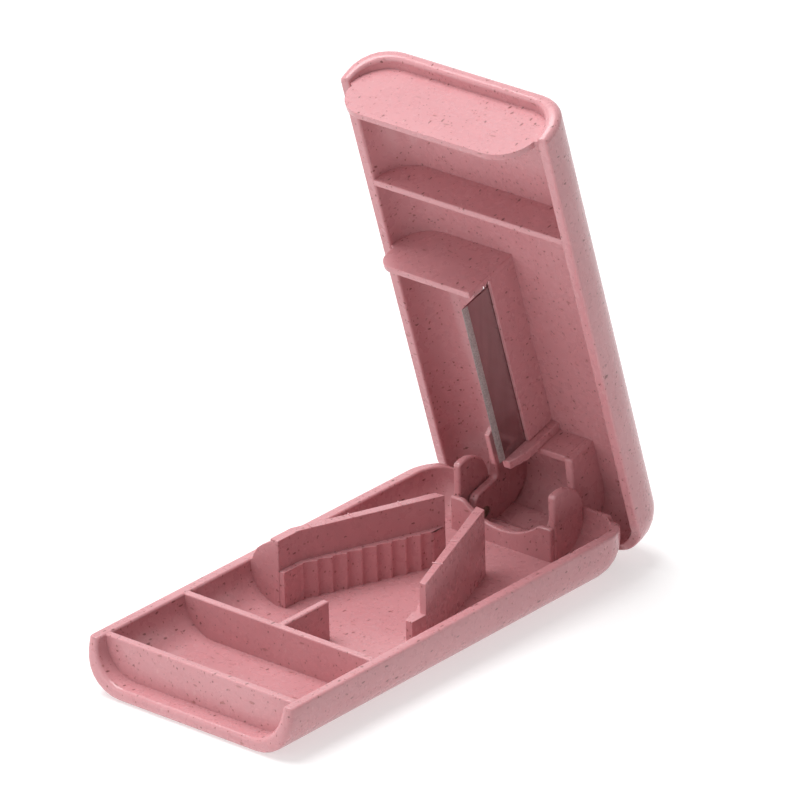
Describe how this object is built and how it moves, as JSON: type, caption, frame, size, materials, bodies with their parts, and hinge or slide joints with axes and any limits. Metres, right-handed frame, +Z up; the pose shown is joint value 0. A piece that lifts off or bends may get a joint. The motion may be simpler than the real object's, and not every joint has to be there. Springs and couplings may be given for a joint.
{
  "type": "pill splitter",
  "caption": "Pocket pill splitter: a hinged two-shell case with a steel blade in the lid and a fluted V-shaped pill holder and a store compartment in the base.",
  "frame": {"origin": "centre of the base's flat underside, taken over the base shell alone", "axes": "+Z up from the table, +Y along the case from its open front end to the hinge, +X across it to the right"},
  "size_m": [0.044, 0.0974, 0.089],
  "materials": {
    "wheat_straw_plastic": "satin dusty pink plastic with brown straw flecks",
    "bright_steel": "bright rolled steel"
  },
  "bodies": {
    "base": {"base_shell": "wheat_straw_plastic", "front_partition": "wheat_straw_plastic", "rear_partition": "wheat_straw_plastic", "pill_stop_fin": "wheat_straw_plastic", "right_pill_wall": "wheat_straw_plastic", "right_fluted_ledge": "wheat_straw_plastic", "left_pill_wall": "wheat_straw_plastic", "left_fluted_ledge": "wheat_straw_plastic", "holder_web": "wheat_straw_plastic", "right_hinge_ear": "wheat_straw_plastic", "left_hinge_ear": "wheat_straw_plastic", "hinge_cradle": "wheat_straw_plastic", "right_hinge_pin": "bright_steel", "left_hinge_pin": "bright_steel"},
    "lid": {"lid_shell": "wheat_straw_plastic", "lid_end_plate": "wheat_straw_plastic", "lid_cross_rib": "wheat_straw_plastic", "blade": "bright_steel", "blade_rail": "wheat_straw_plastic", "blade_foot": "wheat_straw_plastic", "blade_web": "wheat_straw_plastic", "tail_blade_post": "wheat_straw_plastic", "head_blade_post": "wheat_straw_plastic", "hinge_block_web": "wheat_straw_plastic", "right_hinge_lug": "wheat_straw_plastic", "left_hinge_lug": "wheat_straw_plastic", "hinge_apron": "wheat_straw_plastic"}
  },
  "joints": [
    {"name": "lid_hinge", "type": "hinge", "parent": "base", "child": "lid", "pos_m": [0, 0.03995, 0.0045], "axis": [-1, 0, 0], "range_deg": [-74.2, 15.8]}
  ]
}
